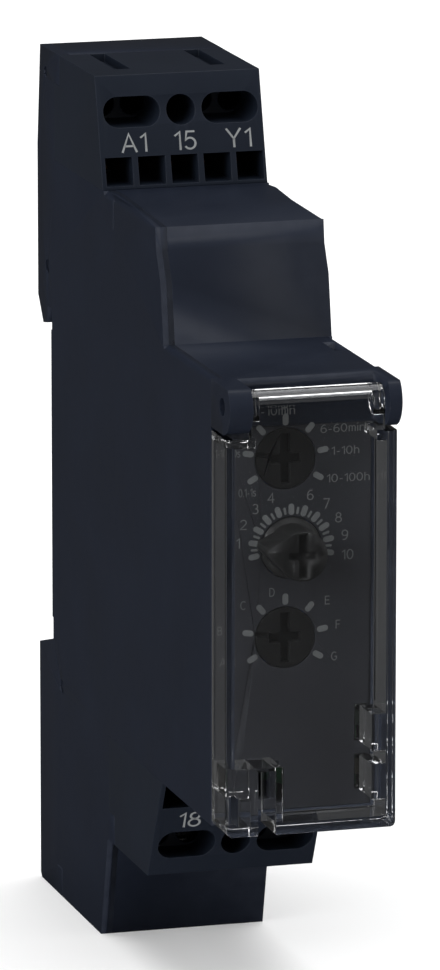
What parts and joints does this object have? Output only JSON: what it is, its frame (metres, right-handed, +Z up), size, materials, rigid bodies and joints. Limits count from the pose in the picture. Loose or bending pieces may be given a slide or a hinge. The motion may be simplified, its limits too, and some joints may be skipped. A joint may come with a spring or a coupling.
{
  "type": "din rail timer",
  "caption": "Narrow DIN rail timer with a clear hinged lid over its setting dials, push-in terminals at top and bottom and a sprung rail clip.",
  "frame": {"origin": "centre of the seat face that lies against the front of the rail, at mid width and at the rail's centre line", "axes": "+Z up along the height, +X to the right across the width, +Y back into the rail; the lid faces -Y"},
  "size_m": [0.0176, 0.072, 0.09],
  "materials": {
    "case_plastic": "moulded dark navy plastic, fine satin texture",
    "terminal_plastic": "moulded dark navy plastic, fine satin texture",
    "panel_plastic": "charcoal moulded plastic",
    "clear_plastic": "clear polycarbonate, lightly smoked",
    "dial_plastic": "near black moulded plastic",
    "clip_plastic": "glass filled nylon, dark grey",
    "spring_steel": "stainless spring steel",
    "copper_strip": "tinned copper strip",
    "contact_bronze": "spring bronze",
    "circuit_board": "green solder mask",
    "blue_plastic": "blue moulded or dipped body",
    "black_component": "black moulded epoxy",
    "green_led": "clear green diode",
    "amber_led": "clear amber diode",
    "coil_wire": "enamelled copper winding",
    "bobbin_plastic": "natural nylon",
    "soft_iron": "plated soft iron",
    "film_yellow": "yellow boxed film capacitor",
    "capacitor_sleeve": "dark blue shrink sleeve",
    "resistor_body": "pale blue lacquer",
    "ferrite": "dark ferrite"
  },
  "bodies": {
    "root": {"case_base": "case_plastic", "side_cover": "case_plastic", "upper_terminal_block": "terminal_plastic", "lower_terminal_block": "terminal_plastic", "front_panel": "panel_plastic", "range_switch": "blue_plastic", "fine_potentiometer": "blue_plastic", "function_switch": "blue_plastic", "front_board": "circuit_board", "main_board": "circuit_board", "board_link": "black_component", "supply_led": "green_led", "relay_led": "amber_led", "supply_light_guide": "clear_plastic", "relay_light_guide": "clear_plastic", "clip_spring": "spring_steel", "relay_base": "black_component", "relay_case": "black_component", "relay_bobbin": "bobbin_plastic", "relay_winding": "coil_wire", "relay_core": "soft_iron", "relay_yoke": "soft_iron", "relay_open_contact": "contact_bronze", "relay_closed_contact": "contact_bronze", "film_capacitor": "film_yellow", "reservoir_capacitor": "capacitor_sleeve", "varistor": "blue_plastic", "fuse_resistor": "resistor_body", "rectifier": "black_component", "controller_chip": "black_component", "filter_choke": "ferrite", "bar_a1": "copper_strip", "bar_15": "copper_strip", "bar_y1": "copper_strip", "bar_18": "copper_strip", "bar_16": "copper_strip", "bar_a2": "copper_strip", "upper_spring_backs": "spring_steel", "lower_spring_backs": "spring_steel"},
    "lid": {"lid": "clear_plastic"},
    "range_dial": {"range_dial": "dial_plastic"},
    "fine_dial": {"fine_dial": "dial_plastic"},
    "function_dial": {"function_dial": "dial_plastic"},
    "rail_clip": {"rail_clip": "clip_plastic"},
    "armature": {"relay_armature": "soft_iron", "relay_moving_contact": "contact_bronze"},
    "leg_a1_left": {"leg_a1_left": "spring_steel"},
    "leg_a1_right": {"leg_a1_right": "spring_steel"},
    "leg_15": {"leg_15": "spring_steel"},
    "leg_y1_left": {"leg_y1_left": "spring_steel"},
    "leg_y1_right": {"leg_y1_right": "spring_steel"},
    "leg_18_left": {"leg_18_left": "spring_steel"},
    "leg_18_right": {"leg_18_right": "spring_steel"},
    "leg_16": {"leg_16": "spring_steel"},
    "leg_a2_left": {"leg_a2_left": "spring_steel"},
    "leg_a2_right": {"leg_a2_right": "spring_steel"}
  },
  "joints": [
    {"name": "lid_hinge", "type": "hinge", "parent": "root", "child": "lid", "pos_m": [0, -0.06405, 0.01996], "axis": [-1, 0, 0], "range_deg": [0, 110]},
    {"name": "range_dial_turn", "type": "hinge", "parent": "root", "child": "range_dial", "pos_m": [-0.00125, -0.0595, 0.01365], "axis": [0, -1, 0], "range_deg": [-200, 40]},
    {"name": "fine_dial_turn", "type": "hinge", "parent": "root", "child": "fine_dial", "pos_m": [-0.00065, -0.0595, 0.00465], "axis": [0, -1, 0], "range_deg": [-180, 20]},
    {"name": "function_dial_turn", "type": "hinge", "parent": "root", "child": "function_dial", "pos_m": [-0.00125, -0.0595, -0.00435], "axis": [0, -1, 0], "range_deg": [-200, 40]},
    {"name": "rail_clip_slide", "type": "slide", "parent": "root", "child": "rail_clip", "axis": [0, 0, -1], "range_m": [0, 0.003], "stiffness_N_per_m": 800, "springref_m": -0.004, "deforming": ["clip_spring"]},
    {"name": "armature_tilt", "type": "hinge", "parent": "root", "child": "armature", "pos_m": [0.0044, -0.04025, -0.011], "axis": [0, 0, -1], "range_deg": [0, 4], "stiffness_Nm_per_rad": 0.01, "springref_deg": -8.59},
    {"name": "leg_a1_left_flex", "type": "hinge", "parent": "root", "child": "leg_a1_left", "pos_m": [-0.00684, -0.0105, 0.04295], "axis": [1, 0, 0], "range_deg": [0, 20], "stiffness_Nm_per_rad": 0.05, "springref_deg": -11.46},
    {"name": "leg_a1_right_flex", "type": "hinge", "parent": "root", "child": "leg_a1_right", "pos_m": [-0.00337, -0.0105, 0.04295], "axis": [1, 0, 0], "range_deg": [0, 20], "stiffness_Nm_per_rad": 0.05, "springref_deg": -11.46},
    {"name": "leg_15_flex", "type": "hinge", "parent": "root", "child": "leg_15", "pos_m": [0.0001, -0.0105, 0.04295], "axis": [1, 0, 0], "range_deg": [0, 20], "stiffness_Nm_per_rad": 0.05, "springref_deg": -11.46},
    {"name": "leg_y1_left_flex", "type": "hinge", "parent": "root", "child": "leg_y1_left", "pos_m": [0.00357, -0.0105, 0.04295], "axis": [1, 0, 0], "range_deg": [0, 20], "stiffness_Nm_per_rad": 0.05, "springref_deg": -11.46},
    {"name": "leg_y1_right_flex", "type": "hinge", "parent": "root", "child": "leg_y1_right", "pos_m": [0.00704, -0.0105, 0.04295], "axis": [1, 0, 0], "range_deg": [0, 20], "stiffness_Nm_per_rad": 0.05, "springref_deg": -11.46},
    {"name": "leg_18_left_flex", "type": "hinge", "parent": "root", "child": "leg_18_left", "pos_m": [-0.00684, -0.0309, -0.03225], "axis": [-1, 0, 0], "range_deg": [0, 20], "stiffness_Nm_per_rad": 0.05, "springref_deg": -11.46},
    {"name": "leg_18_right_flex", "type": "hinge", "parent": "root", "child": "leg_18_right", "pos_m": [-0.00337, -0.0309, -0.03225], "axis": [-1, 0, 0], "range_deg": [0, 20], "stiffness_Nm_per_rad": 0.05, "springref_deg": -11.46},
    {"name": "leg_16_flex", "type": "hinge", "parent": "root", "child": "leg_16", "pos_m": [0.0001, -0.0309, -0.03225], "axis": [-1, 0, 0], "range_deg": [0, 20], "stiffness_Nm_per_rad": 0.05, "springref_deg": -11.46},
    {"name": "leg_a2_left_flex", "type": "hinge", "parent": "root", "child": "leg_a2_left", "pos_m": [0.00357, -0.0309, -0.03225], "axis": [-1, 0, 0], "range_deg": [0, 20], "stiffness_Nm_per_rad": 0.05, "springref_deg": -11.46},
    {"name": "leg_a2_right_flex", "type": "hinge", "parent": "root", "child": "leg_a2_right", "pos_m": [0.00704, -0.0309, -0.03225], "axis": [-1, 0, 0], "range_deg": [0, 20], "stiffness_Nm_per_rad": 0.05, "springref_deg": -11.46}
  ]
}
